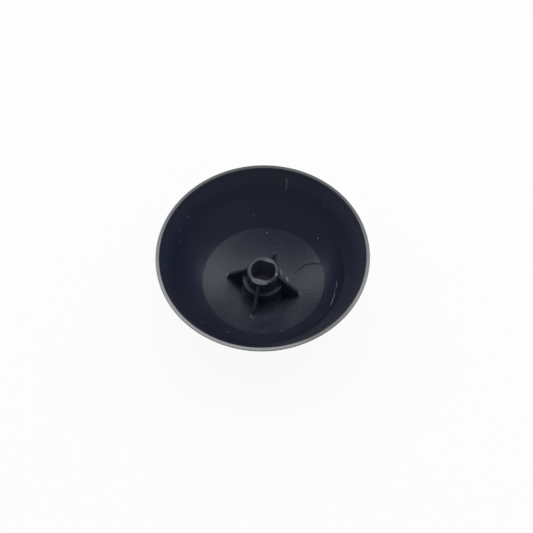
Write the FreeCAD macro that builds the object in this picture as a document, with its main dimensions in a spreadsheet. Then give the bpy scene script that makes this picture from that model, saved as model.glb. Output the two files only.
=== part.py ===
# Thumbstick cap: a thin moulded dome, open side up, with a stepped and ribbed hub inside.
#
# The cap rests on the small flat at its crown, at z = 0, and +Z points out of the open side.
# The hub's socket has two flats that run along X. One gusset rib points along each of +X, +Y, -X and -Y.
# All sizes are in millimetres, apart from the draft, which is in degrees.

import FreeCAD, Part

import math
import os

import Sketcher

VECTOR = FreeCAD.Vector
AXIS_UP = VECTOR(0, 0, 1)

# Sketch geometry: which end of a curve, and the sketch's own origin.
START, END, CENTRE = range(1, 4)
ORIGIN = (-1, 1)

# Driving dimensions: alias, value, what it is.
DIMENSIONS = [
    ("rim_diameter", 28.0, "outer diameter of the dome at its open edge"),
    ("cap_height", 9.0, "from the crown's flat to the rim's edge"),
    ("rim_wall", 0.45, "width of the rim's flat edge, which sets the dome's wall"),
    ("rim_land", 0.12, "height of the upright band around the rim's outside"),
    ("rim_chamfer", 0.06, "chamfer on the rim's outer corner"),
    ("crown_flat_diameter", 4.0, "flat under the crown that the cap rests on"),
    ("floor_diameter", 16.1, "shallower floor disc inside the dome"),
    ("floor_curve_radius", 18.5, "radius of the floor disc's hollow"),
    ("socket_diameter", 3.26, "round part of the double-D socket"),
    ("socket_flat_depth", 0.23, "how far each of the socket's two flats stands into the round"),
    ("socket_end_height", 0.27, "blind end of the socket above the floor's lowest point"),
    ("tube_wall", 0.49, "wall of the hub's tube around the socket, at its top"),
    ("tube_draft", 3.0, "draft of the tube's side, in degrees"),
    ("tube_lip_round", 0.36, "rounding of the tube's outer top edge"),
    ("hub_height", 4.47, "top of the hub above the floor's lowest point"),
    ("ledge_width", 0.52, "how far the hub's lower step stands out past the tube"),
    ("step_height", 2.45, "top of the hub's lower step above the floor's lowest point"),
    ("rib_count", 4, "gusset ribs around the hub"),
    ("rib_thickness", 0.45, "thickness of a rib"),
    ("rib_length", 2.83, "how far a rib's tip is from the tube's top edge, seen from above"),
    ("rib_tip_height", 0.3, "height of a rib's blunt end above the floor"),
    ("rib_top_drop", 0.44, "how far below the top of the hub a rib starts"),
    ("rib_root", 0.2, "how deep a rib is rooted in the floor and in the tube"),
]


def make_sheet(doc):
    """The spreadsheet that holds the driving dimensions."""
    sheet = doc.addObject("Spreadsheet::Sheet", "Dimensions")
    for row, (alias, value, meaning) in enumerate(DIMENSIONS, start=1):
        sheet.set(f"A{row}", alias)
        sheet.set(f"B{row}", str(value))
        sheet.set(f"C{row}", meaning)
        sheet.setAlias(f"B{row}", alias)
    doc.recompute()
    return sheet


def origin_feature(body, role):
    """The body's own origin plane or axis with this role."""
    for feature in body.Origin.OriginFeatures:
        if feature.Role == role:
            return feature
    raise RuntimeError(f"no origin feature {role}")


def new_sketch(body, name, role):
    """An empty sketch on one of the body's origin planes."""
    sketch = body.newObject("Sketcher::SketchObject", name)
    sketch.AttachmentSupport = [(origin_feature(body, role), "")]
    sketch.MapMode = "FlatFace"
    return sketch


def join(sketch, kind, first, first_end, second, second_end):
    """Join two curves' ends or centres."""
    sketch.addConstraint(Sketcher.Constraint(kind, first, first_end, second, second_end))


def centre_on_axis(sketch, arc):
    """Keep an arc's centre on the sketch's vertical axis, which has the index -2."""
    sketch.addConstraint(Sketcher.Constraint("PointOnObject", arc, CENTRE, -2))


def bind(sketch, kind, references, name, expression):
    """Add a dimension at its present length, and bind it to an expression on the spreadsheet."""
    index = sketch.addConstraint(Sketcher.Constraint(kind, *references, present_size(sketch, kind, references)))
    sketch.renameConstraint(index, name)
    sketch.setExpression(f"Constraints.{name}", expression)


def watch(sketch, kind, references, name):
    """Add a reference dimension, which reads a length that the other constraints set."""
    index = sketch.addConstraint(Sketcher.Constraint(kind, *references, present_size(sketch, kind, references)))
    sketch.setDriving(index, False)
    sketch.renameConstraint(index, name)


def present_size(sketch, kind, references):
    """What a dimension measures on the geometry as it was drawn."""
    if kind == "Radius":
        return sketch.Geometry[references[0]].Radius
    first = sketch.getPoint(references[0], references[1])
    second = sketch.getPoint(references[2], references[3])
    return second.x - first.x if kind == "DistanceX" else second.y - first.y


def arc_about_axis(centre_height, start, end):
    """A circular arc from start to end, whose centre is on the sketch's vertical axis."""
    centre = VECTOR(0, centre_height, 0)
    circle = Part.Circle(centre, AXIS_UP, (start - centre).Length)
    return Part.ArcOfCircle(circle, circle.parameter(start), circle.parameter(end))


def centre_between(first, second):
    """Height of the point on the vertical axis that is as far from first as from second."""
    square_gap = second.x ** 2 + second.y ** 2 - first.x ** 2 - first.y ** 2
    return square_gap / (2 * (second.y - first.y))


def height_on_arc(centre_height, radius, reach):
    """Height of an arc's lower side at this distance from the vertical axis."""
    return centre_height - math.sqrt(radius ** 2 - reach ** 2)


def draw_dome_profile(sketch, sheet):
    """Half section of the dome and its stepped hub, still without a socket and ribs."""
    crown_edge = VECTOR(sheet.crown_flat_diameter / 2, 0, 0)
    land_foot = VECTOR(sheet.rim_diameter / 2, sheet.cap_height - sheet.rim_land, 0)
    rim_outer = VECTOR(sheet.rim_diameter / 2, sheet.cap_height, 0)
    rim_inner = rim_outer - VECTOR(sheet.rim_wall, 0, 0)
    dome_centre = centre_between(crown_edge, land_foot)
    inner_radius = math.hypot(rim_inner.x, dome_centre - rim_inner.y)
    floor_reach = sheet.floor_diameter / 2
    floor_edge = VECTOR(floor_reach, height_on_arc(dome_centre, inner_radius, floor_reach), 0)
    floor_centre = floor_edge.y + math.sqrt(sheet.floor_curve_radius ** 2 - floor_reach ** 2)
    floor_low = floor_centre - sheet.floor_curve_radius

    tube_top = VECTOR(sheet.socket_diameter / 2 + sheet.tube_wall, floor_low + sheet.hub_height, 0)
    draft_slope = math.tan(math.radians(sheet.tube_draft))
    tube_foot_reach = tube_top.x + (sheet.hub_height - sheet.step_height) * draft_slope
    tube_foot = VECTOR(tube_foot_reach, floor_low + sheet.step_height, 0)
    step_corner = tube_foot + VECTOR(sheet.ledge_width, 0, 0)
    foot_level = height_on_arc(floor_centre, sheet.floor_curve_radius, step_corner.x)
    step_foot = VECTOR(step_corner.x, foot_level, 0)

    crown = sketch.addGeometry(Part.LineSegment(VECTOR(0, 0, 0), crown_edge))
    outside = sketch.addGeometry(arc_about_axis(dome_centre, crown_edge, land_foot))
    land = sketch.addGeometry(Part.LineSegment(land_foot, rim_outer))
    rim = sketch.addGeometry(Part.LineSegment(rim_outer, rim_inner))
    inside = sketch.addGeometry(arc_about_axis(dome_centre, floor_edge, rim_inner))
    floor = sketch.addGeometry(arc_about_axis(floor_centre, step_foot, floor_edge))
    step_side = sketch.addGeometry(Part.LineSegment(step_foot, step_corner))
    ledge = sketch.addGeometry(Part.LineSegment(step_corner, tube_foot))
    tube_side = sketch.addGeometry(Part.LineSegment(tube_foot, tube_top))
    tube_end = sketch.addGeometry(Part.LineSegment(tube_top, VECTOR(0, tube_top.y, 0)))
    axis = sketch.addGeometry(Part.LineSegment(VECTOR(0, tube_top.y, 0), VECTOR(0, 0, 0)))

    join(sketch, "Coincident", crown, START, *ORIGIN)
    join(sketch, "Coincident", crown, END, outside, START)
    join(sketch, "Coincident", outside, END, land, START)
    join(sketch, "Coincident", land, END, rim, START)
    join(sketch, "Coincident", rim, END, inside, END)
    join(sketch, "Coincident", inside, CENTRE, outside, CENTRE)
    join(sketch, "Coincident", inside, START, floor, END)
    join(sketch, "Coincident", floor, START, step_side, START)
    join(sketch, "Coincident", step_side, END, ledge, START)
    join(sketch, "Coincident", ledge, END, tube_side, START)
    join(sketch, "Coincident", tube_side, END, tube_end, START)
    join(sketch, "Coincident", tube_end, END, axis, START)
    join(sketch, "Coincident", axis, END, *ORIGIN)
    for line in (crown, rim, ledge, tube_end):
        sketch.addConstraint(Sketcher.Constraint("Horizontal", line))
    for line in (land, step_side, axis):
        sketch.addConstraint(Sketcher.Constraint("Vertical", line))
    for arc in (outside, floor):
        centre_on_axis(sketch, arc)

    bind(sketch, "DistanceX", (*ORIGIN, crown, END), "crown_half", "Dimensions.crown_flat_diameter / 2")
    bind(sketch, "DistanceX", (*ORIGIN, rim, START), "rim_half", "Dimensions.rim_diameter / 2")
    bind(sketch, "DistanceY", (*ORIGIN, rim, START), "rim_level", "Dimensions.cap_height")
    bind(sketch, "DistanceY", (land, START, land, END), "land_height", "Dimensions.rim_land")
    bind(sketch, "DistanceX", (rim, END, rim, START), "rim_width", "Dimensions.rim_wall")
    bind(sketch, "DistanceX", (*ORIGIN, floor, END), "floor_half", "Dimensions.floor_diameter / 2")
    bind(sketch, "Radius", (floor,), "floor_radius", "Dimensions.floor_curve_radius")
    bind(sketch, "DistanceX", (*ORIGIN, tube_side, END), "tube_half",
         "Dimensions.socket_diameter / 2 + Dimensions.tube_wall")
    bind(sketch, "DistanceX", (tube_side, END, tube_side, START), "draft_width",
         "(Dimensions.hub_height - Dimensions.step_height) * tan(Dimensions.tube_draft * 1 deg)")
    bind(sketch, "DistanceX", (ledge, END, ledge, START), "ledge_width", "Dimensions.ledge_width")
    bind(sketch, "DistanceY", (tube_side, END, floor, CENTRE), "top_to_floor_centre",
         "Dimensions.floor_curve_radius - Dimensions.hub_height")
    bind(sketch, "DistanceY", (ledge, START, floor, CENTRE), "ledge_to_floor_centre",
         "Dimensions.floor_curve_radius - Dimensions.step_height")
    watch(sketch, "DistanceY", (*ORIGIN, tube_side, END), "hub_level")
    watch(sketch, "DistanceY", (*ORIGIN, floor, CENTRE), "floor_centre_level")


def circle_edges(shape, radius, height):
    """Names of the circular edges about the cap's axis with this radius, at this height."""
    nearness = 1e-3
    names = []
    for index, edge in enumerate(shape.Edges, start=1):
        if not isinstance(edge.Curve, Part.Circle):
            continue
        centre = edge.Curve.Center
        on_axis = math.hypot(centre.x, centre.y) < nearness
        if on_axis and abs(edge.Curve.Radius - radius) < nearness and abs(centre.z - height) < nearness:
            names.append(f"Edge{index}")
    if not names:
        raise RuntimeError(f"no circular edge of radius {radius} at height {height}")
    return names


def dress_edge(body, kind, name, radius, height, size_name, expression):
    """Put a Fillet or a Chamfer on the circular edge of this radius and height."""
    doc = body.Document
    base = body.Tip
    feature = body.newObject(f"PartDesign::{kind}", name)
    feature.Base = (base, circle_edges(base.Shape, radius, height))
    feature.setExpression(size_name, expression)
    doc.recompute()


def add_dome(body, sheet):
    """Revolve the half section, then finish the corners of the rim and of the tube."""
    doc = body.Document
    profile = new_sketch(body, "DomeProfile", "XZ_Plane")
    draw_dome_profile(profile, sheet)
    doc.recompute()
    revolution = body.newObject("PartDesign::Revolution", "Dome")
    revolution.Profile = profile
    revolution.ReferenceAxis = (profile, ["V_Axis"])
    revolution.Angle = 360.0
    doc.recompute()

    hub_level = profile.getDatum("hub_level").Value
    tube_radius = profile.getDatum("tube_half").Value
    dress_edge(body, "Chamfer", "RimChamfer", sheet.rim_diameter / 2, sheet.cap_height, "Size",
               "min(Dimensions.rim_chamfer; Dimensions.rim_wall / 2; Dimensions.rim_land / 2)")
    dress_edge(body, "Fillet", "TubeLip", tube_radius, hub_level, "Radius",
               "min(Dimensions.tube_lip_round; Dimensions.tube_wall * 0.8)")
    return profile


def draw_rib_profile(sketch, sheet, dome_profile):
    """Side view of one gusset rib: rooted in the tube, down to a blunt end on the floor disc."""
    hub_level = dome_profile.getDatum("hub_level").Value
    tube_radius = dome_profile.getDatum("tube_half").Value
    floor_centre = dome_profile.getDatum("floor_centre_level").Value
    buried_radius = sheet.floor_curve_radius + sheet.rib_root
    rib_reach = tube_radius + sheet.rib_length
    root_reach = tube_radius - sheet.rib_root
    rib_top = hub_level - sheet.rib_top_drop
    tip_top = height_on_arc(floor_centre, sheet.floor_curve_radius, rib_reach) + sheet.rib_tip_height
    inner_top = VECTOR(root_reach, rib_top, 0)
    outer_top = VECTOR(tube_radius, rib_top, 0)
    tip_corner = VECTOR(rib_reach, tip_top, 0)
    tip_foot = VECTOR(rib_reach, height_on_arc(floor_centre, buried_radius, rib_reach), 0)
    inner_foot = VECTOR(root_reach, height_on_arc(floor_centre, buried_radius, root_reach), 0)

    shoulder = sketch.addGeometry(Part.LineSegment(inner_top, outer_top))
    slope = sketch.addGeometry(Part.LineSegment(outer_top, tip_corner))
    blunt_end = sketch.addGeometry(Part.LineSegment(tip_corner, tip_foot))
    foot = sketch.addGeometry(arc_about_axis(floor_centre, inner_foot, tip_foot))
    root = sketch.addGeometry(Part.LineSegment(inner_foot, inner_top))

    join(sketch, "Coincident", shoulder, END, slope, START)
    join(sketch, "Coincident", slope, END, blunt_end, START)
    join(sketch, "Coincident", blunt_end, END, foot, END)
    join(sketch, "Coincident", foot, START, root, START)
    join(sketch, "Coincident", root, END, shoulder, START)
    sketch.addConstraint(Sketcher.Constraint("Horizontal", shoulder))
    sketch.addConstraint(Sketcher.Constraint("Vertical", blunt_end))
    sketch.addConstraint(Sketcher.Constraint("Vertical", root))
    centre_on_axis(sketch, foot)

    bind(sketch, "DistanceX", (shoulder, START, shoulder, END), "root_depth", "Dimensions.rib_root")
    bind(sketch, "DistanceX", (*ORIGIN, shoulder, END), "tube_half", "DomeProfile.Constraints.tube_half")
    bind(sketch, "DistanceY", (*ORIGIN, shoulder, END), "top_level",
         "DomeProfile.Constraints.hub_level - Dimensions.rib_top_drop * 1 mm")
    bind(sketch, "DistanceX", (slope, START, slope, END), "length", "Dimensions.rib_length")
    bind(sketch, "DistanceY", (blunt_end, START, foot, CENTRE), "tip_to_floor_centre",
         "sqrt(Dimensions.floor_curve_radius ^ 2 - (Dimensions.socket_diameter / 2 + Dimensions.tube_wall"
         " + Dimensions.rib_length) ^ 2) - Dimensions.rib_tip_height")
    bind(sketch, "Radius", (foot,), "foot_radius", "Dimensions.floor_curve_radius + Dimensions.rib_root")
    bind(sketch, "DistanceY", (*ORIGIN, foot, CENTRE), "foot_centre", "DomeProfile.Constraints.floor_centre_level")


def add_ribs(body, sheet, dome_profile):
    """One gusset rib, repeated around the hub."""
    doc = body.Document
    profile = new_sketch(body, "RibProfile", "XZ_Plane")
    draw_rib_profile(profile, sheet, dome_profile)
    doc.recompute()
    rib = body.newObject("PartDesign::Pad", "Rib")
    rib.Profile = profile
    rib.Midplane = True
    rib.setExpression("Length", "Dimensions.rib_thickness")
    doc.recompute()
    pattern = body.newObject("PartDesign::PolarPattern", "Ribs")
    pattern.Originals = [rib]
    pattern.Axis = (origin_feature(body, "Z_Axis"), [""])
    pattern.Angle = 360.0
    pattern.setExpression("Occurrences", "Dimensions.rib_count")
    body.Tip = pattern
    doc.recompute()


def draw_socket_profile(sketch, sheet):
    """A circle with two flats that run along X."""
    radius = sheet.socket_diameter / 2
    flat_reach = radius - sheet.socket_flat_depth
    corner_reach = math.sqrt(radius ** 2 - flat_reach ** 2)
    corner_angle = math.atan2(flat_reach, corner_reach)
    circle = Part.Circle(VECTOR(0, 0, 0), AXIS_UP, radius)
    back_right = VECTOR(corner_reach, flat_reach, 0)
    back_left = VECTOR(-corner_reach, flat_reach, 0)

    right = sketch.addGeometry(Part.ArcOfCircle(circle, -corner_angle, corner_angle))
    back = sketch.addGeometry(Part.LineSegment(back_right, back_left))
    left = sketch.addGeometry(Part.ArcOfCircle(circle, math.pi - corner_angle, math.pi + corner_angle))
    front = sketch.addGeometry(Part.LineSegment(-back_right, -back_left))

    join(sketch, "Coincident", right, END, back, START)
    join(sketch, "Coincident", back, END, left, START)
    join(sketch, "Coincident", left, END, front, START)
    join(sketch, "Coincident", front, END, right, START)
    join(sketch, "Coincident", right, CENTRE, *ORIGIN)
    join(sketch, "Coincident", left, CENTRE, *ORIGIN)
    sketch.addConstraint(Sketcher.Constraint("Horizontal", back))
    sketch.addConstraint(Sketcher.Constraint("Horizontal", front))
    sketch.addConstraint(Sketcher.Constraint("Equal", right, left))
    bind(sketch, "Radius", (right,), "round_radius", "Dimensions.socket_diameter / 2")
    bind(sketch, "DistanceY", (*ORIGIN, back, START), "back_flat",
         "Dimensions.socket_diameter / 2 - Dimensions.socket_flat_depth")
    bind(sketch, "DistanceY", (front, START, *ORIGIN), "front_flat",
         "Dimensions.socket_diameter / 2 - Dimensions.socket_flat_depth")


def add_socket(body, sheet):
    """The blind double-D socket, cut from the top of the hub towards the crown."""
    doc = body.Document
    profile = new_sketch(body, "SocketProfile", "XY_Plane")
    profile.setExpression("AttachmentOffset.Base.z", "DomeProfile.Constraints.hub_level")
    draw_socket_profile(profile, sheet)
    doc.recompute()
    solid_volume = body.Shape.Volume
    socket = body.newObject("PartDesign::Pocket", "Socket")
    socket.Profile = profile
    socket.setExpression("Length", "Dimensions.hub_height - Dimensions.socket_end_height")
    doc.recompute()
    if body.Shape.Volume >= solid_volume:
        raise RuntimeError("the socket cuts nothing")


def build_cap(doc, sheet):
    """The whole moulding as one body."""
    body = doc.addObject("PartDesign::Body", "ThumbstickCap")
    body.Label = "thumbstick_cap"
    dome_profile = add_dome(body, sheet)
    add_ribs(body, sheet, dome_profile)
    add_socket(body, sheet)
    return body


def check_document(doc, bodies):
    """Stop if any object failed, a sketch is loose, or a body isn't one valid solid."""
    for item in doc.Objects:
        if "Invalid" in item.State or "Error" in item.State:
            raise RuntimeError(f"{item.Name} failed: {item.State}")
        if item.TypeId == "Sketcher::SketchObject" and not item.FullyConstrained:
            raise RuntimeError(f"{item.Name} isn't fully constrained")
    for body in bodies:
        shape = body.Shape
        if shape.isNull() or not shape.isValid() or len(shape.Solids) != 1:
            raise RuntimeError(f"{body.Label} isn't one valid solid")


def main():
    os.makedirs("parts", exist_ok=True)
    doc = FreeCAD.newDocument("ThumbstickCap")
    sheet = make_sheet(doc)
    bodies = [build_cap(doc, sheet)]
    doc.recompute()
    check_document(doc, bodies)
    for body in bodies:
        body.Shape.exportStep(f"parts/{body.Label}.step")
        print(f"{body.Label}: {body.Shape.Volume:.2f} cubic mm, top of the hub at z = "
              f"{doc.DomeProfile.getDatum('hub_level').Value:.3f}")


main()
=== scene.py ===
# Thumbstick cap: the looks of the moulding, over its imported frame.
#
# Laid out as an add-on and run as a script. All lengths are in metres, in the frame of the CAD model:
# the cap rests on its crown at z = 0, its open side is up, and the socket's flats run along X.

import math

import bmesh
import bpy
from bpy.props import FloatProperty, FloatVectorProperty, IntProperty, PointerProperty
from mathutils import Matrix, Vector


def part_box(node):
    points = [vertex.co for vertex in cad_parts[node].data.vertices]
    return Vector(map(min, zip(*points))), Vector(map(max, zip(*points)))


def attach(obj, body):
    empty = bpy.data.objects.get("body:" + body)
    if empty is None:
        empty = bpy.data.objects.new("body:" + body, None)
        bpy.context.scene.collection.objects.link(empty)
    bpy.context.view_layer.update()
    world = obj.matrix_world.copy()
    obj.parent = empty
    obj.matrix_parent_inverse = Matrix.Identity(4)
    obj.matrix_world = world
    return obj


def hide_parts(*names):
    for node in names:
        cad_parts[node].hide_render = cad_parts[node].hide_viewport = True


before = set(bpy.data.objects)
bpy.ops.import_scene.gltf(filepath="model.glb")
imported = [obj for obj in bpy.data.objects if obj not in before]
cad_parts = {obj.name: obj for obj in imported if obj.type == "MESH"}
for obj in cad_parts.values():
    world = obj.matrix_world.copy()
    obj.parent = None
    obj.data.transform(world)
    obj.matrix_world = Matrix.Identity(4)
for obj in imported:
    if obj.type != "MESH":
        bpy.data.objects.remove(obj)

bl_info = {
    "name": "Thumbstick cap",
    "version": (1, 0, 0),
    "blender": (4, 5, 0),
    "location": "3D View > Sidebar > Thumbstick Cap",
    "description": "Builds a moulded thumbstick cap and the plain stage it is shown on",
    "category": "Object",
}

MM = 0.001
NODE = "thumbstick_cap"
CAP_LOW, CAP_HIGH = (Vector(corner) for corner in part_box(NODE))
CAP_SIZE = CAP_HIGH - CAP_LOW

# The half section's small rounds, and the gap left on each side of the crease around the floor disc.
CROWN_ROUND = 0.3 * MM
LEDGE_ROUND = 0.1 * MM
STEP_FOOT_ROUND = 0.06 * MM
WORN_LIP_ROUND = 0.05 * MM
SOCKET_LIP_ROUND = 0.03 * MM
SOCKET_END_ROUND = 0.08 * MM
CREASE_GAP = 0.06 * MM

# How far the spread of the tube's lip reaches down, and how much of it is left there.
SPREAD_DEPTH = 0.5 * MM
SPREAD_LEFT = 0.2

# Gaps left between the arcs and the crown's flat, the rim and the hub's foot, for the rounds there.
CROWN_GAP = 0.4 * MM
RIM_GAP = 0.2 * MM
FOOT_GAP = 0.5 * MM

# Straight parts that stand for the outside, for the wall inside and for the floor disc.
OUTSIDE_STEPS = 44
WALL_STEPS = 30
FLOOR_STEPS = 20

# A rib's small rounds, its flare as a share of the foot's round, and how far it reaches into the tube's
# wall and into the floor.
RIB_EDGE_ROUND = 0.1 * MM
RIB_NOSE_ROUND = 0.3 * MM
RIB_TIP_ROUND = 0.12 * MM
RIB_FLARE = 0.6
RIB_ROOT = 0.2 * MM
RIB_SUNK = 0.012 * MM
RIB_BURIED = 0.12 * MM

# How far the grid is turned, in segments, so that none of its points lies on a rib's middle plane.
GRID_TURN = 0.37

# The sine of the angle around, where the tube's lip starts to be worn and where it is fully worn.
WORN_FROM = -0.8
WORN_FULL = -0.94

# The way to the far side, seen from above at the photograph's angle, and the far wall's tint.
FAR_X = -0.292
FAR_Y = 0.956
# The far wall's tint is a painted bluish reflection of the sky.
FAR_REFLECTION_TINT = (1, 1.05, 1.7)

# Marks, with painted glints, light, shade and reflection, given in millimetres: spots as (x, y, z,
# radius), lines as (x, y, z) points.
SPECKS = (
    (-11.67, 4.03, 6.86, 0.11), (-12.11, 1.75, 6.7, 0.09), (-11.76, 0.63, 6.09, 0.1),
    (-4.08, 8.58, 3.74, 0.11), (-1.86, 7.23, 2.42, 0.13), (5.17, 7.76, 3.6, 0.13),
    (5.14, 11.04, 6.63, 0.09), (11.01, 2.1, 5.4, 0.09), (-5.26, -9.84, 5.34, 0.13),
    (-2.96, -10.59, 5.17, 0.11), (-1.91, -9.32, 3.75, 0.12), (4.48, -6.6, 2.65, 0.1),
    (-7.83, -5.1, 3.62, 0.09), (8.25, -3.68, 3.37, 0.12), (8.9, -3.58, 3.82, 0.1),
)
# Painted glints on the ring's edge and the ledge.
EDGE_GLINTS = ((1.86, -0.08, 5.31, 0.2), (2.08, 1.34, 3.29, 0.13), (1.9, 1.7, 3.29, 0.12))
TIP_GLINTS = ((-0.1, 4.86, 1.85, 0.38), (-4.89, 0.08, 1.65, 0.36), (4.88, 0.03, 1.68, 0.36),
              (-0.03, -4.91, 1.58, 0.38))
RING_GLINT = (0.41, 1.7, 5.31, 0.9)
# A spot where the ring is left darker and duller.
DIM_RING = (1.78, -0.85, 5.25, 0.85)
# Painted shade on the rim.
RIM_PAINTED_SHADE = (11.7, -7.6, 9, 6)
# Painted reflection on the far wall.
PAINTED_REFLECTION = (-5.9, 7.0, 3.5, 4)
# Painted light at the hub's foot.
FOOT_PAINTED_LIGHT = (1.0, -3.2, 1.2, 3)
HAIRLINE = ((3.3, 2.92, 1.38), (4.59, 4.33, 1.95), (5.16, 4.55, 2.17), (6.82, 4.61, 2.8))
FAINT_LINE = ((5.7, 0.04, 1.74), (7.56, 0.19, 2.46))
BRIGHT_SCRATCH = ((9.78, -0.6, 3.99), (9.79, -1.77, 4.13))
SCRATCHES = (BRIGHT_SCRATCH, ((9.53, 2.03, 3.95), (9.78, -0.6, 3.99)),
             ((-0.72, 12.98, 7.92), (-0.58, 12.02, 6.43)))
FLOOR_GLINT = ((2.52, 2.21, 1.15), (2.9, 1.53, 1.14))
RED_TRACES = (((-0.17, 1.4, 2.47), (-0.07, 1.35, 1.11)), ((0.39, 1.4, 2.76), (0.3, 1.35, 1.11)))

# Half the width of each kind of line.
HAIRLINE_WIDTH = 0.14 * MM
FAINT_WIDTH = 0.1 * MM
SCRATCH_WIDTH = 0.08 * MM
GLINT_WIDTH = 0.1 * MM
TRACE_WIDTH = 0.09 * MM

# Where bands of the finish start and where they are full, in millimetres: reaches from the axis for the
# rim's painted highlight, the wall's foot and the hub's lip, and heights for the disc, the wall's
# painted sheen and the socket's painted light.
RIM_HIGHLIGHT_INNER = (13.64, 13.74)
RIM_HIGHLIGHT_OUTER = (13.92, 13.82)
WALL_FOOT_INNER = (8, 8.05)
WALL_FOOT_OUTER = (12.2, 8.8)
LIP_OUTER = (3, 2.8)
DISC_CEILING = (2.95, 2.85)
WALL_SHEEN = (5.9, 8.3)
SOCKET_LIGHT_BAND = (4.2, 3.2)

# How far the marks' outlines wander.
WOBBLE = 0.3 * MM

# Waves per metre of each noise, and cells per metre of the fine dust.
BLOTCH_SCALE = 260.0
WOBBLE_SCALE = 900.0
SCUFF_SCALE = 2200.0
GRAIN_SCALE = 9000.0
DUST_SCALE = 700.0

# The photograph's view: angles in degrees, the lens in millimetres, and how the camera's aim is shifted.
CAMERA_AZIMUTH = 19.15
CAMERA_ELEVATION = 60.0
CAMERA_ROLL = -1.96
CAMERA_DISTANCE = 0.4
CAMERA_LENS = 205.3
AIM_BELOW_RIM = 4 * MM
AIM_RIGHT = 0.434
AIM_UP = 0.67

# Each lamp's turn from straight behind the cap, its height angle and its power in watts.
LAMPS = (
    ("lamp_back", 0, 55, 0.75), ("lamp_back_low", 0, 25, 0.328), ("lamp_back_high", 0, 70, 0.322),
    ("lamp_left", -55, 40, 0.427), ("lamp_right", 55, 40, 0.385), ("lamp_right_high", 75, 55, 0.301),
)
LAMP_DISTANCE = 0.6
LAMP_SIZE = 0.3

# The sky's strength for all but camera rays, half the floor's side, and how much of the floor's look is
# plain white to the camera.
SKY_STRENGTH = 0.311
FLOOR_HALF = 3.0
FLOOR_GLOW = 0.93


# Properties

def length(name, description, default):
    """A length property in metres, shown in the scene's units."""
    return FloatProperty(name=name, description=description, default=default, min=0.0, unit="LENGTH",
                         subtype="DISTANCE", precision=5)


def colour(name, description, default):
    """A colour property."""
    return FloatVectorProperty(name=name, description=description, default=default, size=3, min=0.0,
                               max=1.0, subtype="COLOR")


def count(name, description, default, low, high):
    """A whole number property."""
    return IntProperty(name=name, description=description, default=default, min=low, max=high)


class CapSizes(bpy.types.PropertyGroup):
    rim_diameter: length("Rim Diameter", "Outer diameter of the dome at its open edge", CAP_SIZE.x)
    height: length("Height", "From the crown's flat to the rim's edge", CAP_SIZE.z)
    rim_wall: length("Rim Wall", "Width of the rim's flat edge", 0.45 * MM)
    rim_land: length("Rim Land", "Height of the upright band around the rim's outside", 0.12 * MM)
    rim_outer_round: length("Rim Outer Round", "Rounding of the rim's outer corner", 0.05 * MM)
    rim_inner_round: length("Rim Inner Round", "Rounding of the rim's inner corner", 0.12 * MM)
    crown_flat: length("Crown Flat", "Diameter of the flat under the crown", 4.0 * MM)
    floor_diameter: length("Floor Diameter", "Diameter of the shallower floor disc inside", 16.1 * MM)
    floor_curve: length("Floor Curve", "Radius of the floor disc's hollow", 18.5 * MM)
    socket_diameter: length("Socket Diameter", "Round part of the socket", 3.26 * MM)
    socket_flats: length("Socket Flats", "Distance between the socket's two flats", 2.8 * MM)
    socket_end: length("Socket End", "Blind end of the socket above the floor's lowest point", 0.27 * MM)
    tube_wall: length("Tube Wall", "Wall of the hub's tube at its top", 0.49 * MM)
    tube_lip: length("Tube Lip", "Rounding of the tube's outer top edge", 0.36 * MM)
    lip_spread: length("Lip Spread", "How far the tube's top edge is spread at its front", 0.1 * MM)
    tube_draft: length("Tube Draft", "How much wider the tube is at its foot, in radius", 0.106 * MM)
    hub_height: length("Hub Height", "Top of the hub above the floor's lowest point", 4.47 * MM)
    ledge_width: length("Ledge Width", "How far the hub's lower step stands out", 0.52 * MM)
    step_height: length("Step Height", "Top of the lower step above the floor's lowest point", 2.45 * MM)
    foot_round: length("Foot Round", "Fillet where the hub and the ribs meet the floor", 0.09 * MM)
    rib_count: count("Rib Count", "Gusset ribs around the hub", 4, 2, 12)
    rib_thickness: length("Rib Thickness", "Thickness of a rib", 0.45 * MM)
    rib_length: length("Rib Length", "From the tube's top edge to a rib's tip, in plan", 2.83 * MM)
    rib_tip: length("Rib Tip", "Height of a rib's blunt end above the floor", 0.3 * MM)
    rib_drop: length("Rib Drop", "How far below the top of the hub a rib starts", 0.44 * MM)
    segments: count("Segments", "Divisions around the cap", 256, 24, 512)


class CapColours(bpy.types.PropertyGroup):
    moulding: colour("Moulding", "Satin black plastic of the dome and the hub", (0.0055, 0.0092, 0.0225))
    scuffed: colour("Scuffed Edge", "Paler plastic where the rim was trimmed", (0.32, 0.32, 0.325))
    hub_edge: colour("Hub Edge", "Rubbed plastic on top of the hub", (0.036, 0.042, 0.06))
    # Dust also colours the painted glints at the rib tips.
    dust: colour("Dust", "Dust specks and light scratches", (0.25, 0.26, 0.285))
    # Dull haze in patches, and the colour of the painted light and reflection on the hub, walls and
    # floor.
    haze_and_painted_light: colour("Mould Haze", "Duller plastic on the hub and in patches", (0.026, 0.03, 0.054))
    # Painted light in the socket, near its end.
    socket_painted_light: colour("Socket Haze", "Pale bloom in the socket, near its end", (0.3, 0.34, 0.43))
    # Painted shade at the far wall's foot.
    wall_foot_shade: colour("Wall Foot", "Darker plastic around the disc's far side", (0.0004, 0.0026, 0.028))
    hairline: colour("Hairline", "The two dark lines on the disc", (0.0012, 0.0015, 0.003))
    # Also the colour of the painted glints on the ring, the ledge and the floor.
    worn: colour("Worn", "Bare, rubbed plastic on burrs and at the ring's front", (0.26, 0.265, 0.275))
    red_trace: colour("Red Trace", "Dull red traces in the socket", (0.6, 0.2, 0.26))
    floor: colour("Floor", "The floor under the cap", (0.93, 0.93, 0.93))


# Node trees

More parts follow.
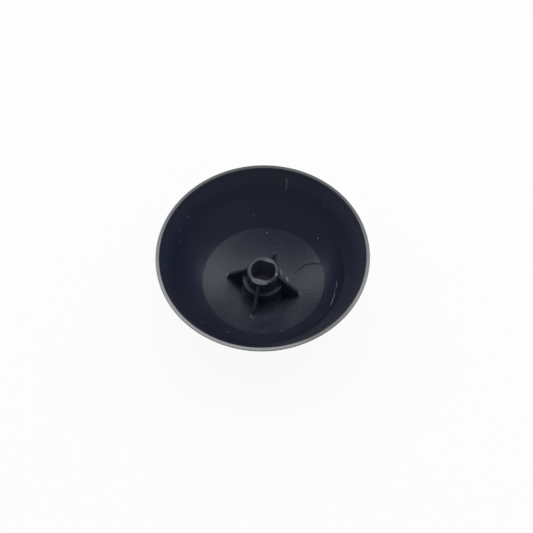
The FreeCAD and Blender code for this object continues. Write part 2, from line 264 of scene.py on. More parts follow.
def operator(operation, swapped=False):
    """An operator of Value that adds this maths node."""
    def method(self, other):
        first, second = (other, self) if swapped else (self, other)
        return self.graph.math(operation, first, second)
    return method


class Value:
    """A node's output that can be used in sums and products."""
    __add__ = operator("ADD")
    __radd__ = operator("ADD", swapped=True)
    __sub__ = operator("SUBTRACT")
    __rsub__ = operator("SUBTRACT", swapped=True)
    __mul__ = operator("MULTIPLY")
    __rmul__ = operator("MULTIPLY", swapped=True)
    __truediv__ = operator("DIVIDE")
    __rtruediv__ = operator("DIVIDE", swapped=True)

    def __init__(self, graph, socket):
        self.graph = graph
        self.socket = socket

    def __abs__(self):
        return self.math("ABSOLUTE")

    def math(self, operation, *others):
        """This maths node on the value and others."""
        return self.graph.math(operation, self, *others)


class Graph:
    """A node tree that nodes are added to by type, settings and inputs."""

    def __init__(self, tree):
        self.tree = tree

    def node(self, kind, settings=None, inputs=None, output=0):
        """A new node with these settings and inputs, as the value of one of its outputs."""
        node = self.tree.nodes.new(kind)
        for name, setting in (settings or {}).items():
            setattr(node, name, setting)
        for name, value in (inputs or {}).items():
            if isinstance(value, Value):
                self.tree.links.new(value.socket, node.inputs[name])
            else:
                node.inputs[name].default_value = value
        return Value(self, node.outputs[output])

    def math(self, operation, *values):
        """Maths on these values."""
        return self.node("ShaderNodeMath", {"operation": operation}, dict(enumerate(values)))

    def vector(self, operation, *values, output=0):
        """Vector maths on these values."""
        settings = {"operation": operation}
        return self.node("ShaderNodeVectorMath", settings, dict(enumerate(values)), output)

    def parts(self, vector):
        """The X, Y and Z parts of a vector."""
        node = self.node("ShaderNodeSeparateXYZ", None, {0: vector}).socket.node
        return [Value(self, socket) for socket in node.outputs]

    def rise(self, value, low, high):
        """0 below low and 1 above high, smoothly. With low above high it falls instead."""
        return self.node("ShaderNodeMapRange", {"interpolation_type": "SMOOTHSTEP"},
                         {"Value": value, "From Min": low, "From Max": high})

    def mix(self, share, first, second):
        """A blend of two colours."""
        inputs = {0: share, 6: first, 7: second}
        return self.node("ShaderNodeMix", {"data_type": "RGBA"}, inputs, output=2)

    def layered(self, paint, layers):
        """A colour with each layer, given as its share and colour, laid over the ones before."""
        for share, layer in layers:
            paint = self.mix(share, paint, layer)
        return paint

    def most(self, values):
        """The largest of several values."""
        largest = values[0]
        for value in values[1:]:
            largest = largest.math("MAXIMUM", value)
        return largest

    def noise(self, place, scale, detail, roughness=0.5, output=0):
        """Noise between 0 and 1 with this many waves per metre."""
        return self.node("ShaderNodeTexNoise", None, {
            "Vector": place, "Scale": scale, "Detail": detail, "Roughness": roughness}, output)

    def spot(self, place, ball):
        """1 inside a ball given as (x, y, z, radius) in millimetres, falling to 0 at its edge."""
        radius = ball[3] * MM
        gap = self.vector("DISTANCE", place, [part * MM for part in ball[:3]], output="Value")
        return self.rise(gap, radius, 0.45 * radius)

    def stroke(self, place, start, end, width):
        """1 along a straight mark between two points in millimetres, falling to 0 around it."""
        first = Vector(start) * MM
        along = Vector(end) * MM - first
        offset = self.vector("SUBTRACT", place, first)
        travel = self.vector("DOT_PRODUCT", offset, along.normalized(), output="Value")
        across = self.vector("CROSS_PRODUCT", offset, along.normalized())
        gap = self.vector("LENGTH", across, output="Value")
        begun = self.rise(travel, -width, width)
        ends = begun * self.rise(travel, along.length + width, along.length - width)
        return self.rise(gap, width, 0.3 * width) * ends

    def spots(self, place, balls):
        """The most of several spots."""
        return self.most([self.spot(place, ball) for ball in balls])

    def strokes(self, place, lines, width):
        """The most of several strokes."""
        return self.most([self.stroke(place, start, end, width) for start, end in lines])

    def surface(self, kind, shader):
        """The tree's output node, with this shader as its surface."""
        output = self.tree.nodes.new(kind)
        self.tree.links.new(shader.socket, output.inputs["Surface"])


def blank_graph(owner):
    """A material's or world's node tree, emptied."""
    owner.use_nodes = True
    owner.node_tree.nodes.clear()
    return Graph(owner.node_tree)


def rgba(part_colour, share=1.0, tint=(1, 1, 1)):
    """A colour with its alpha, dimmed by share and tinted."""
    return (*[share * shade * part for shade, part in zip(tint, part_colour)], 1.0)


def add_object(name, data):
    """A new object in the scene with this data."""
    made = bpy.data.objects.new(name, data)
    bpy.context.scene.collection.objects.link(made)
    return made


# Shape of the moulding

def rounded(bends, steps=4):
    """Points of a line through bends given as (reach, height, radius), with each bend rounded."""
    straight = 0.02
    points = [Vector(bends[0][:2])]
    for before, bend, after in zip(bends, bends[1:], bends[2:]):
        place = Vector(bend[:2])
        back = Vector(before[:2]) - place
        ahead = Vector(after[:2]) - place
        turn = math.pi - back.angle(ahead)
        if bend[2] == 0 or turn < straight:
            points.append(place)
            continue
        reach = bend[2] * math.tan(turn / 2)
        guard = min(1.5 * reach, 0.48 * back.length, 0.48 * ahead.length)
        reach = min(reach, 0.9 * guard)
        start = place + back.normalized() * reach
        end = place + ahead.normalized() * reach
        points.append(place + back.normalized() * guard)
        for step in range(steps + 1):
            share = step / steps
            points.append((1 - share) ** 2 * start + 2 * share * (1 - share) * place + share ** 2 * end)
        points.append(place + ahead.normalized() * guard)
    points.append(Vector(bends[-1][:2]))
    return points


def arc(centre_height, radius, first_reach, last_reach, steps):
    """Bends along the lower side of a circle about a point on the axis, both ends included."""
    first = math.asin(first_reach / radius)
    last = math.asin(last_reach / radius)
    angles = [first + (last - first) * step / steps for step in range(steps + 1)]
    return [(radius * math.sin(angle), centre_height - radius * math.cos(angle), 0) for angle in angles]


def dome_curve(sizes):
    """Centre height, outer radius and inner radius of the dome's two spheres."""
    crown = sizes.crown_flat / 2
    rim = sizes.rim_diameter / 2
    land_foot = sizes.height - sizes.rim_land
    centre = (rim ** 2 + land_foot ** 2 - crown ** 2) / (2 * land_foot)
    outer = math.hypot(crown, centre)
    inner = math.hypot(rim - sizes.rim_wall, centre - sizes.height)
    return centre, outer, inner


def floor_curve(sizes):
    """Centre height of the floor disc's hollow, and the height of its lowest point."""
    centre, _, inner = dome_curve(sizes)
    reach = sizes.floor_diameter / 2
    edge = centre - math.sqrt(inner ** 2 - reach ** 2)
    floor_centre = edge + math.sqrt(sizes.floor_curve ** 2 - reach ** 2)
    return floor_centre, floor_centre - sizes.floor_curve


def tube_reach(sizes):
    """Radius of the hub's tube at its top."""
    return sizes.socket_diameter / 2 + sizes.tube_wall


def section(sizes, lip_round, lip_spread):
    """The half section's points from the crown to the socket's end, and the socket's first index."""
    centre, outer, inner = dome_curve(sizes)
    floor_centre, floor_low = floor_curve(sizes)
    rim = sizes.rim_diameter / 2
    wall = rim - sizes.rim_wall
    floor_edge = sizes.floor_diameter / 2
    tube = tube_reach(sizes)
    tube_foot = tube + sizes.tube_draft
    step = tube_foot + sizes.ledge_width
    step_foot = floor_centre - math.sqrt(sizes.floor_curve ** 2 - step ** 2)
    ledge = floor_low + sizes.step_height
    top = floor_low + sizes.hub_height
    socket = sizes.socket_diameter / 2
    end = floor_low + sizes.socket_end

    bends = [(0, 0, 0), (sizes.crown_flat / 2, 0, CROWN_ROUND)]
    bends += arc(centre, outer, sizes.crown_flat / 2 + CROWN_GAP, rim, OUTSIDE_STEPS)[:-1]
    bends += [(rim, sizes.height - sizes.rim_land, 0), (rim, sizes.height, sizes.rim_outer_round)]
    bends += [(wall, sizes.height, sizes.rim_inner_round)]
    bends += arc(centre, inner, wall - RIM_GAP, floor_edge + CREASE_GAP, WALL_STEPS)
    bends += [(floor_edge, centre - math.sqrt(inner ** 2 - floor_edge ** 2), 0)]
    bends += arc(floor_centre, sizes.floor_curve, floor_edge - CREASE_GAP, step + FOOT_GAP, FLOOR_STEPS)
    bends += [(step, step_foot, sizes.foot_round), (step, ledge, LEDGE_ROUND)]
    bends += [(tube_foot, ledge, STEP_FOOT_ROUND)]
    bends += [(tube + SPREAD_LEFT * lip_spread, top - SPREAD_DEPTH, 0)]
    bends += [(tube + lip_spread, top, lip_round)]
    bends += [(socket, top, SOCKET_LIP_ROUND), (socket, end, SOCKET_END_ROUND), (0, end, 0)]
    points = rounded(bends)
    half = len(points) // 2
    mouth = next(index for index, point in enumerate(points)
                 if index > half and point.x < socket + 0.06 * MM and point.y > top - 0.1 * MM)
    return points, mouth


def section_object(sizes):
    """The half section as an open line, with each point's share of the socket's flats and worn place."""
    points, mouth = section(sizes, sizes.tube_lip, 0.0)
    worn = section(sizes, WORN_LIP_ROUND, sizes.lip_spread)[0]
    if len(worn) != len(points):
        raise RuntimeError("the plain and the worn section differ in their points")
    mesh = bpy.data.meshes.new("section")
    edges = [(index, index + 1) for index in range(len(points) - 1)]
    mesh.from_pydata([(point.x, 0, point.y) for point in points], edges, [])
    share = mesh.attributes.new("socket_share", "FLOAT", "POINT")
    share.data.foreach_set("value", [float(index >= mouth) for index in range(len(points))])
    worn_place = mesh.attributes.new("worn_place", "FLOAT_VECTOR", "POINT")
    worn_place.data.foreach_set("vector", [part for point in worn for part in (point.x, 0, point.y)])
    return add_object("section", mesh)


def rib_loop(half_width, top, flare):
    """A rib's cross section as (across, height above the floor): flared at the floor, rounded on top."""
    squeeze = min(1.0, max(top, 0.0) / (flare + RIB_EDGE_ROUND))
    bend = squeeze * RIB_EDGE_ROUND
    angles = [math.pi / 2 * step / 4 for step in range(5)]
    side = [(half_width + flare, -RIB_BURIED)]
    side += [(half_width + flare * (1 - math.sin(angle)),
              squeeze * flare * (1 - math.cos(angle)) - RIB_SUNK) for angle in angles]
    side += [(half_width - RIB_EDGE_ROUND + RIB_EDGE_ROUND * math.cos(angle),
              top - bend + bend * math.sin(angle)) for angle in angles]
    return side + [(-across, height) for across, height in reversed(side)]


def rib_object(sizes):
    """One gusset rib along +X, from inside the tube's wall to its blunt tip, set into the floor."""
    floor_centre, floor_low = floor_curve(sizes)
    tube = tube_reach(sizes)
    tip = tube + sizes.rib_length

    def floor_height(reach):
        return floor_centre - math.sqrt(sizes.floor_curve ** 2 - reach ** 2)

    top = floor_low + sizes.hub_height - sizes.rib_drop
    flare = RIB_FLARE * sizes.foot_round
    bends = [(tube - RIB_ROOT, top, 0), (tube, top, RIB_EDGE_ROUND),
             (tip, floor_height(tip) + sizes.rib_tip, RIB_NOSE_ROUND),
             (tip, floor_height(tip) - 0.5 * MM, 0)]
    bm = bmesh.new()
    rings = []
    for reach, height in rounded(bends, 5)[:-2]:
        level = floor_height(reach)
        bulge = min(max(RIB_TIP_ROUND - tip + reach, 0.0), RIB_TIP_ROUND)
        half_width = sizes.rib_thickness / 2 - RIB_TIP_ROUND + math.sqrt(RIB_TIP_ROUND ** 2 - bulge ** 2)
        loop = rib_loop(half_width, height - level, flare)
        rings.append([bm.verts.new((reach, across, level + above)) for across, above in loop])
    for near, far in zip(rings, rings[1:]):
        for index in range(len(near)):
            following = (index + 1) % len(near)
            bm.faces.new((near[index], near[following], far[following], far[index]))
    bm.faces.new(rings[0])
    bm.faces.new(rings[-1])
    bmesh.ops.recalc_face_normals(bm, faces=bm.faces)
    mesh = bpy.data.meshes.new("rib")
    bm.to_mesh(mesh)
    bm.free()
    return add_object("rib", mesh)


def moulding_tree():
    """Geometry Nodes: turns the half section about Z and joins it and the ribs into a closed shell."""
    tree = bpy.data.node_groups.new("Moulding", "GeometryNodeTree")
    sockets = (
        ("Section", "NodeSocketGeometry", None), ("Segments", "NodeSocketInt", 256),
        ("Socket Radius", "NodeSocketFloat", 1.63 * MM), ("Flat Reach", "NodeSocketFloat", 1.4 * MM),
        ("Rib", "NodeSocketObject", None), ("Rib Count", "NodeSocketInt", 4),
        ("Crease Angle", "NodeSocketFloat", 0.6), ("Material", "NodeSocketMaterial", None),
    )
    for name, kind, default in sockets:
        socket = tree.interface.new_socket(name, in_out="INPUT", socket_type=kind)
        if default is not None:
            socket.default_value = default
    tree.interface.new_socket("Moulding", in_out="OUTPUT", socket_type="NodeSocketGeometry")

    graph = Graph(tree)
    given = tree.nodes.new("NodeGroupInput")
    section_in, segments, socket_radius, flat_reach, rib, rib_count, crease, material = (
        Value(graph, given.outputs[index]) for index in range(len(sockets)))
    shell = turned_shell(graph, section_in, segments, flat_reach / socket_radius)
    ribs = placed_ribs(graph, rib, rib_count)
    joined = graph.node("GeometryNodeMeshBoolean", {"operation": "UNION", "solver": "EXACT"})
    for part in (shell, ribs):
        tree.links.new(part.socket, joined.socket.node.inputs["Mesh 2"])

    smooth = graph.node("GeometryNodeSetShadeSmooth", {"domain": "FACE"}, {"Geometry": joined})
    bend = graph.node("GeometryNodeInputMeshEdgeAngle")
    sharp = graph.node("FunctionNodeCompare", {"data_type": "FLOAT", "operation": "GREATER_THAN"},
                       {0: bend, 1: crease})
    creased = graph.node("GeometryNodeSetShadeSmooth", {"domain": "EDGE"},
                         {"Geometry": smooth, "Selection": sharp, "Shade Smooth": False})
    real = graph.node("GeometryNodeRealizeInstances", None, {0: creased})
    dressed = graph.node("GeometryNodeSetMaterial", None, {"Geometry": real, "Material": material})
    result = tree.nodes.new("NodeGroupOutput")
    tree.links.new(dressed.socket, result.inputs[0])
    return tree


def sampled(graph, geometry, kind, value, index):
    """What a field on the section says at this point of it."""
    return graph.node("GeometryNodeSampleIndex", {"data_type": kind},
                      {"Geometry": geometry, "Value": value, "Index": index})


def named(graph, kind, name):
    """A named attribute as a field."""
    return graph.node("GeometryNodeInputNamedAttribute", {"data_type": kind}, {"Name": name})


def turned_shell(graph, section_in, segments, flat_share):
    """The half section turned about Z on a grid, with the socket's flats and the lip's worn front."""
    points = graph.node("GeometryNodeAttributeDomainSize", {"component": "MESH"}, {0: section_in})
    around = segments + 1
    grid = graph.node("GeometryNodeMeshGrid", None, {"Vertices X": points, "Vertices Y": around})
    index = graph.node("GeometryNodeInputIndex")
    along = ((index + 0.5) / around).math("FLOOR")
    angle = (along * around - index + GRID_TURN) * (2 * math.pi) / segments
    sine = angle.math("SINE")
    cosine = angle.math("COSINE")
    place = graph.node("GeometryNodeInputPosition")
    plain = sampled(graph, section_in, "FLOAT_VECTOR", place, along)
    share = sampled(graph, section_in, "FLOAT", named(graph, "FLOAT", "socket_share"), along)
    worn = sampled(graph, section_in, "FLOAT_VECTOR", named(graph, "FLOAT_VECTOR", "worn_place"), along)
    front = graph.rise(sine, WORN_FROM, WORN_FULL)
    mixed = graph.node("ShaderNodeMix", {"data_type": "VECTOR"}, {0: front, 4: plain, 5: worn}, output=1)
    reach, _, height = graph.parts(mixed)
    slimness = flat_share / abs(sine).math("MAXIMUM", 0.001)
    reach = reach * (1 - share * (1 - slimness.math("MINIMUM", 1.0)))
    turned = graph.node("ShaderNodeCombineXYZ", None, {0: reach * cosine, 1: reach * sine, 2: height})
    shell = graph.node("GeometryNodeSetPosition", None, {"Geometry": grid, "Position": turned})
    return graph.node("GeometryNodeMergeByDistance", None, {"Geometry": shell, "Distance": 1e-7})


def placed_ribs(graph, rib, rib_count):
    """The ribs, evenly turned about Z."""
    spots = graph.node("GeometryNodePoints", None, {"Count": rib_count})
    index = graph.node("GeometryNodeInputIndex")
    heading = graph.node("ShaderNodeCombineXYZ", None, {2: index * (2 * math.pi) / rib_count})
    heading = graph.node("FunctionNodeEulerToRotation", None, {0: heading})
    shape = graph.node("GeometryNodeObjectInfo", {"transform_space": "ORIGINAL"}, {"Object": rib},
                       output="Geometry")
    ribs = graph.node("GeometryNodeInstanceOnPoints", None,
                      {"Points": spots, "Instance": shape, "Rotation": heading})
    return graph.node("GeometryNodeRealizeInstances", None, {0: ribs})


def grown(base, tree, values, name):
    """The plain mesh object that a tree makes from base, which is removed."""
    modifier = base.modifiers.new("tree", "NODES")
    modifier.node_group = tree
    for item in tree.interface.items_tree:
        if item.in_out == "INPUT" and item.name in values:
            modifier[item.identifier] = values[item.name]
    bpy.context.view_layer.update()
    evaluated = base.evaluated_get(bpy.context.evaluated_depsgraph_get())
    mesh = bpy.data.meshes.new_from_object(evaluated)
    mesh.name = name
    base.modifiers.remove(modifier)
    bpy.data.objects.remove(base)
    return add_object(name, mesh)


def check_shell(cap, sizes):
    """Stop if the moulding isn't one closed shell with all its ribs."""
    tip_height = 0.9 * MM
    tolerance = 0.2 * MM
    bm = bmesh.new()
    bm.from_mesh(cap.data)
    loose = sum(not edge.is_manifold for edge in bm.edges)
    volume = bm.calc_volume(signed=True) / MM ** 3
    bm.free()
    if loose or volume <= 0:
        raise RuntimeError(f"the moulding has {loose} loose edges and a volume of {volume:.1f} cubic mm")
    tip = tube_reach(sizes) + sizes.rib_length
    for rib in range(sizes.rib_count):
        turn = 2 * math.pi * rib / sizes.rib_count
        spot = Vector((tip * math.cos(turn), tip * math.sin(turn), floor_curve(sizes)[1] + tip_height))
        if min((vertex.co - spot).length for vertex in cap.data.vertices) > tolerance:
            raise RuntimeError(f"rib {rib + 1} is missing")


# Material

class Finish:
    """The moulding's finish: masks that are 1 where a region or mark is, and what is made from them."""

    def __init__(self, graph, sizes):
        self.graph = graph
        self.place = graph.node("ShaderNodeTexCoord", output="Object")
        self.x, self.y, self.z = graph.parts(self.place)
        self.reach = (self.x * self.x + self.y * self.y).math("SQRT")
        self.far = (FAR_Y * self.y + FAR_X * self.x) / (sizes.rim_diameter / 2)
        self.floor_low = floor_curve(sizes)[1]
        self.hub_top = self.floor_low + sizes.hub_height

        self.blotches = graph.noise(self.place, BLOTCH_SCALE, 3.0)
        self.grain = graph.noise(self.place, GRAIN_SCALE, 2.0, 0.6)
        self.scuffs = graph.noise(self.place, SCUFF_SCALE, 4.0, 0.7)
        wobble = graph.noise(self.place, WOBBLE_SCALE, 1.0, output="Color")
        bent = graph.vector("MULTIPLY_ADD", wobble, [WOBBLE] * 3, self.place)
        self.bent = graph.vector("SUBTRACT", bent, [WOBBLE / 2] * 3)

        self.mask_rim(sizes)
        self.mask_hub(sizes)
        self.mask_inside(sizes)
        self.mask_marks()

    def band(self, value, limits):
        """0 to 1 between two limits in millimetres."""
        return self.edge(value, 0, *limits)

    def edge(self, value, base, start, full):
        """0 to 1 between two distances from a base, in millimetres."""
        return self.graph.rise(value, base + start * MM, base + full * MM)

    def mask_rim(self, sizes):
        """The trimmed rim, narrower on its far side and with a painted shade in one place, and a painted
        highlight along it.
        """
        rise = self.graph.rise
        inner = sizes.rim_diameter / 2 - sizes.rim_wall + 0.13 * MM * rise(self.far, 0, 0.8)
        trimmed = self.edge(self.z, sizes.height, -0.13, -0.05)
        trimmed = trimmed * self.edge(self.reach - inner, 0, -0.04, 0.04)
        # Painted shade dims the rim in one place.
        self.rim = trimmed * (1 - 0.3 * self.graph.spot(self.place, RIM_PAINTED_SHADE))
        # A painted highlight along the rim's middle, on its near side.
        rim_highlight = self.band(self.reach, RIM_HIGHLIGHT_INNER) * self.band(self.reach, RIM_HIGHLIGHT_OUTER)
        self.rim_highlight = rim_highlight * rise(self.far, 0.1, -0.5)

    def mask_hub(self, sizes):
        """The hub with its ribs, its top face, its worn lip, its dimmed places, and the painted light in
        the socket.
        """
        rise = self.graph.rise
        socket = sizes.socket_diameter / 2
        tube = tube_reach(sizes)
        tip = tube + sizes.rib_length
        top = self.hub_top
        above_floor = self.z - self.floor_low - self.reach * self.reach / (2 * sizes.floor_curve)
        self.on_hub = self.edge(self.reach, tip, 0.1, 0.04) * self.edge(above_floor, 0, 0.04, 0.14)
        self.hub_face = self.edge(self.z, top, -0.16, -0.04) * self.edge(self.reach, tube, -0.14, -0.22)
        lip = self.edge(self.z, top, -0.32, -0.2) * self.band(self.reach, LIP_OUTER)
        self.front_lip = lip * rise(self.y / self.reach, -0.78, -0.88)
        side = self.edge(self.reach, tube, -0.22, -0.12) * self.edge(self.z, top, -0.5, -0.4)
        side = side * (1 - self.front_lip) * rise(self.x / self.reach, 0.2, 0.7)
        # The ring is left darker and duller in one spot and on the lip's side towards +X.
        self.ring_dimmed = self.graph.most([self.graph.spot(self.place, DIM_RING) * self.hub_face, side])
        in_socket = self.edge(self.reach, socket, 0.03, -0.01) * self.edge(self.z, top, 0, -0.1)
        deep = self.edge(self.z, self.floor_low, 1.1, 0.5)
        # Painted light in the socket: a little all down it, more in a band and most near its end.
        self.socket_painted_light = in_socket * (0.15 + 0.12 * self.band(self.z, SOCKET_LIGHT_BAND) + 0.6 * deep)

    def mask_inside(self, sizes):
        """The floor disc, the wall's foot on its far side with its painted shade, the wall's top with
        its painted sheen, and patches of painted light and of painted reflection.
        """
        rise = self.graph.rise
        centre, outer, inner = dome_curve(sizes)
        squared = self.reach * self.reach + (self.z - centre) * (self.z - centre)
        inside = rise(squared.math("SQRT"), (outer + inner) / 2, inner + 0.1 * MM)
        disc = self.edge(self.reach, sizes.floor_diameter / 2, 0.03, -0.03)
        self.disc = disc * self.band(self.z, DISC_CEILING) * inside
        foot = self.band(self.reach, WALL_FOOT_OUTER) * (1 - self.disc)
        foot = foot * self.band(self.reach, WALL_FOOT_INNER)
        # Painted shade at the wall's foot on the far side.
        self.wall_foot_shade = foot * rise(self.far, -0.5, 0.1) * inside
        # Painted sheen on the wall's top, stronger on the far side.
        self.wall_sheen = self.band(self.z, WALL_SHEEN) * (0.3 + 0.5 * rise(self.far, -0.7, 0.8))
        mottled_and_painted_light = 0.5 * self.disc * rise(self.scuffs, 0.4, 0.65)
        # Painted reflection on the far wall above the disc.
        mottled_and_painted_light = mottled_and_painted_light + 0.4 * self.graph.spot(self.place, PAINTED_REFLECTION)
        # Painted light lifts the hub's shade on the floor in front of it.
        self.mottled_and_painted_light = mottled_and_painted_light + 0.8 * self.graph.spot(self.place, FOOT_PAINTED_LIGHT)

    def mask_marks(self):
        """Dust, scratches, painted glints, dark lines and red traces."""
        graph = self.graph
        gap = graph.node("ShaderNodeTexVoronoi", None, {"Vector": self.place, "Scale": DUST_SCALE},
                         output="Distance")
        self.fine_dust = graph.rise(gap, 0.055, 0.02)
        self.dust = graph.spots(self.bent, SPECKS)
        # Painted glints at the rib tips.
        self.painted_tip_glints = graph.spots(self.place, TIP_GLINTS)
        self.scratches = graph.strokes(self.bent, SCRATCHES, SCRATCH_WIDTH)
        self.bright_scratch = graph.stroke(self.place, *BRIGHT_SCRATCH, SCRATCH_WIDTH)
        self.hairline = graph.strokes(self.bent, zip(HAIRLINE, HAIRLINE[1:]), HAIRLINE_WIDTH)
        self.faint = graph.stroke(self.bent, *FAINT_LINE, FAINT_WIDTH)
        # Painted glints on the ring, the ledge and the floor behind a rib.
        self.painted_glints = graph.most([graph.spots(self.place, EDGE_GLINTS),
                                 graph.stroke(self.place, *FLOOR_GLINT, GLINT_WIDTH)])
        self.ring_glint = graph.spot(self.place, RING_GLINT) * self.hub_face
        self.traces = graph.strokes(self.bent, RED_TRACES, TRACE_WIDTH)

    def body(self, colours):
        """The plastic's colour: blotched and hazy, with a painted bluish reflection on the far side,
        painted light, sheen and reflection in places, and painted shade at the far wall's foot.
        """
        plain = colours.moulding
        blotched = self.graph.mix(self.blotches, rgba(plain, 0.85), rgba(plain, 1.15))
        return self.graph.layered(blotched, (
            # Painted bluish reflection on the far side.
            (self.graph.rise(self.far, -0.6, 0.6), rgba(plain, tint=FAR_REFLECTION_TINT)),
            # Haze, with painted light and a painted reflection in patches.
            (self.mottled_and_painted_light, rgba(colours.haze_and_painted_light)),
            # Painted shade at the far wall's foot.
            (0.85 * self.wall_foot_shade, rgba(colours.wall_foot_shade)),
            # Painted sheen near the rim.
            (self.wall_sheen, rgba(colours.haze_and_painted_light, 1.4)),
            # Painted light on the hub and ribs, lifting their shade.
            (self.on_hub, rgba(colours.haze_and_painted_light)),
            # Painted light in the socket.
            (self.socket_painted_light, rgba(colours.socket_painted_light)),
            (0.8 * self.hairline + 0.8 * self.faint, rgba(colours.hairline)),
        ))

    def paint(self, colours):
        """The plastic's colour with its trimmed and rubbed edges, dust and marks, and painted shade,
        highlights and glints.
        """
        most = self.graph.most
        plain = colours.scuffed
        # Painted shade darkens the rim towards its far side.
        scuffed = self.graph.mix((1 - self.far) / 1.05, rgba(plain, 0.3), rgba(plain))
        # Painted highlight along the rim's middle.
        scuffed = self.graph.mix(self.rim_highlight, scuffed, rgba(plain, 1.35))
        # Dust specks and scratches, and painted glints at the rib tips.
        specks_and_tip_glints = most([0.9 * self.dust, 0.4 * self.fine_dust, 0.7 * self.scratches, 0.6 * self.painted_tip_glints])
        return self.graph.layered(self.body(colours), (
            (self.rim * (0.72 + 0.4 * self.scuffs), scuffed),
            # The rubbed colour is left off where the ring is dimmed.
            (self.hub_face * (1 - self.ring_dimmed), rgba(colours.hub_edge)),
            (0.35 * self.front_lip * self.scuffs, rgba(colours.worn)),
            (specks_and_tip_glints, rgba(colours.dust)),
            (0.6 * self.bright_scratch, rgba(colours.worn)),
            # Painted glints.
            (most([0.8 * self.painted_glints, 0.25 * self.ring_glint]), rgba(colours.worn)),
            (0.8 * self.traces, rgba(colours.red_trace)),
        ))

    def roughness(self):
        """Satin: glossier on disc and wall foot, duller on rim, hub, dark lines and where the ring is
        dimmed.
        """
        rough = 0.4 + 0.06 * self.blotches + 0.2 * self.rim + 0.15 * self.on_hub
        rough = rough + (0.16 * self.scuffs - 0.15) * self.disc
        rough = rough + 0.5 * self.hairline + 0.45 * self.faint + 0.35 * self.ring_dimmed
        return rough - 0.11 * self.wall_foot_shade


def moulding_material(sizes, colours):
    """Satin black moulded plastic, paler where the rim and the hub's top were trimmed and rubbed."""
    material = bpy.data.materials.new("black_moulding")
    graph = blank_graph(material)
    finish = Finish(graph, sizes)
    bump = graph.node("ShaderNodeBump", None, {
        "Height": finish.grain, "Strength": 0.12, "Distance": 0.02 * MM})
    shader = graph.node("ShaderNodeBsdfPrincipled", None, {
        "Base Color": finish.paint(colours), "Roughness": finish.roughness(), "Normal": bump,
        "IOR": 1.5, "Specular IOR Level": 0.56})
    graph.surface("ShaderNodeOutputMaterial", shader)
    return material


# Stage

def floor_material(colours):
    """A pale floor that the camera sees as near white, with the cap's shadow kept."""
    material = bpy.data.materials.new("floor")
    graph = blank_graph(material)
    diffuse = graph.node("ShaderNodeBsdfDiffuse", None, {"Color": rgba(colours.floor)})
    glow = graph.node("ShaderNodeEmission", None, {"Color": (1.0, 1.0, 1.0, 1.0), "Strength": 1.0})
    camera_ray = graph.node("ShaderNodeLightPath", output="Is Camera Ray")
    blend = graph.node("ShaderNodeMixShader", None, {0: FLOOR_GLOW * camera_ray, 1: diffuse, 2: glow})
    graph.surface("ShaderNodeOutputMaterial", blend)
    return material


def add_floor(colours):
    """A wide square under the cap."""
    mesh = bpy.data.meshes.new("floor")
    square = [(-FLOOR_HALF, -FLOOR_HALF, 0), (FLOOR_HALF, -FLOOR_HALF, 0), (FLOOR_HALF, FLOOR_HALF, 0),
              (-FLOOR_HALF, FLOOR_HALF, 0)]
    mesh.from_pydata(square, [], [(0, 1, 2, 3)])
    mesh.materials.append(floor_material(colours))
    floor = add_object("floor", mesh)


def add_world(scene):
    """A soft sky that the camera sees as white."""
    world = bpy.data.worlds.new("world")
    scene.world = world
    graph = blank_graph(world)
    camera_ray = graph.node("ShaderNodeLightPath", output="Is Camera Ray")
    strength = SKY_STRENGTH + (1 - SKY_STRENGTH) * camera_ray
    sky = graph.node("ShaderNodeBackground", None, {"Color": (1, 1, 1, 1), "Strength": strength})
    graph.surface("ShaderNodeOutputWorld", sky)


def add_lamp(name, azimuth, elevation, power, target):
    """A square area lamp at this direction from the target, turned to face it."""
    lamp = bpy.data.lights.new(name, "AREA")
    lamp.shape = "SQUARE"
    lamp.size = LAMP_SIZE
    lamp.energy = power
    made = add_object(name, lamp)
    flat = math.cos(elevation)
    away = Vector((math.sin(azimuth) * flat, math.cos(azimuth) * flat, math.sin(elevation)))
    made.location = target + away * LAMP_DISTANCE
    made.rotation_euler = away.to_track_quat("Z", "Y").to_euler()


def add_camera(scene):
    """The camera at the photograph's angle, well back, as the rim's outside doesn't show."""
    camera = bpy.data.cameras.new("camera")
    camera.sensor_width = 36.0
    camera.lens = CAMERA_LENS
    camera.clip_start = 0.01
    camera.clip_end = 20.0
    azimuth = math.radians(CAMERA_AZIMUTH)
    elevation = math.radians(CAMERA_ELEVATION)
    roll = math.radians(CAMERA_ROLL)
    flat = math.cos(elevation)
    back = Vector((math.sin(azimuth) * flat, -math.cos(azimuth) * flat, math.sin(elevation)))
    level_right = Vector((math.cos(azimuth), math.sin(azimuth), 0))
    level_up = back.cross(level_right)
    right = level_right * math.cos(roll) + level_up * math.sin(roll)
    up = level_up * math.cos(roll) - level_right * math.sin(roll)
    middle = Vector((0, 0, scene.cap_sizes.height - AIM_BELOW_RIM))
    target = middle + right * AIM_RIGHT * MM + up * AIM_UP * MM
    made = add_object("camera", camera)
    turn = Matrix((right, up, back)).transposed().to_4x4()
    made.matrix_world = Matrix.Translation(target + back * CAMERA_DISTANCE) @ turn
    scene.camera = made


# Operators and panel

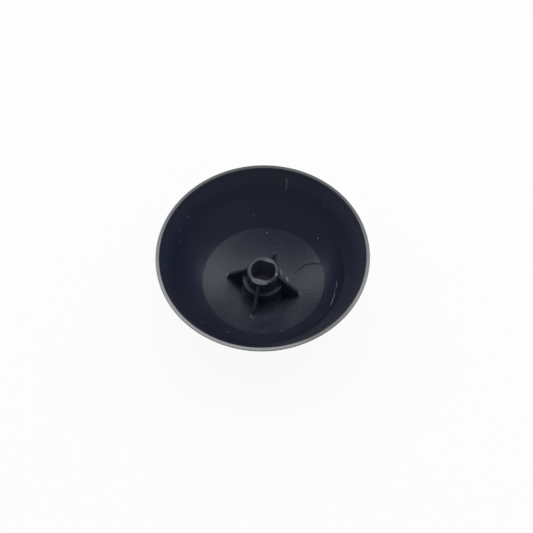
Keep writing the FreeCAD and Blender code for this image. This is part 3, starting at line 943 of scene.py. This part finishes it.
class THUMBSTICK_OT_cap(bpy.types.Operator):
    """Build the cap as one moulding: dome, rim, floor disc, stepped hub with its socket, and ribs"""
    bl_idname = "thumbstick.cap"
    bl_label = "Cap"

    def execute(self, context):
        sizes = context.scene.cap_sizes
        rib = rib_object(sizes)
        material = moulding_material(sizes, context.scene.cap_colours)
        cap = grown(section_object(sizes), moulding_tree(), {
            "Segments": sizes.segments, "Socket Radius": sizes.socket_diameter / 2,
            "Flat Reach": sizes.socket_flats / 2, "Rib": rib, "Rib Count": sizes.rib_count,
            "Crease Angle": math.radians(35), "Material": material}, "moulded_cap")
        bpy.data.objects.remove(rib)
        check_shell(cap, sizes)
        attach(cap, "root")
        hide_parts(NODE)
        return {"FINISHED"}


class THUMBSTICK_OT_stage(bpy.types.Operator):
    """Add the floor, the lamps, the world and the camera"""
    bl_idname = "thumbstick.stage"
    bl_label = "Stage"

    def execute(self, context):
        scene = context.scene
        scene.view_settings.view_transform = "Standard"
        add_floor(scene.cap_colours)
        add_world(scene)
        middle = Vector((0, 0, scene.cap_sizes.height / 2))
        behind = -math.radians(CAMERA_AZIMUTH)
        for name, azimuth, elevation, power in LAMPS:
            add_lamp(name, behind + math.radians(azimuth), math.radians(elevation), power, middle)
        add_camera(scene)
        return {"FINISHED"}


class THUMBSTICK_PT_panel(bpy.types.Panel):
    """Sizes, colours and buttons of the thumbstick cap"""
    bl_idname = "THUMBSTICK_PT_panel"
    bl_label = "Thumbstick Cap"
    bl_space_type = "VIEW_3D"
    bl_region_type = "UI"
    bl_category = "Thumbstick Cap"

    def draw(self, context):
        for group in (context.scene.cap_sizes, context.scene.cap_colours):
            box = self.layout.box()
            for name in group.__annotations__:
                box.prop(group, name)
        for item in (THUMBSTICK_OT_cap, THUMBSTICK_OT_stage):
            self.layout.operator(item.bl_idname)


CLASSES = (CapSizes, CapColours, THUMBSTICK_OT_cap, THUMBSTICK_OT_stage, THUMBSTICK_PT_panel)


def register():
    for item in CLASSES:
        bpy.utils.register_class(item)
    bpy.types.Scene.cap_sizes = PointerProperty(type=CapSizes)
    bpy.types.Scene.cap_colours = PointerProperty(type=CapColours)


def unregister():
    del bpy.types.Scene.cap_colours
    del bpy.types.Scene.cap_sizes
    for item in reversed(CLASSES):
        bpy.utils.unregister_class(item)


def main():
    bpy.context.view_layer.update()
    register()
    bpy.ops.thumbstick.cap()
    bpy.ops.thumbstick.stage()


if __name__ == "__main__":
    main()
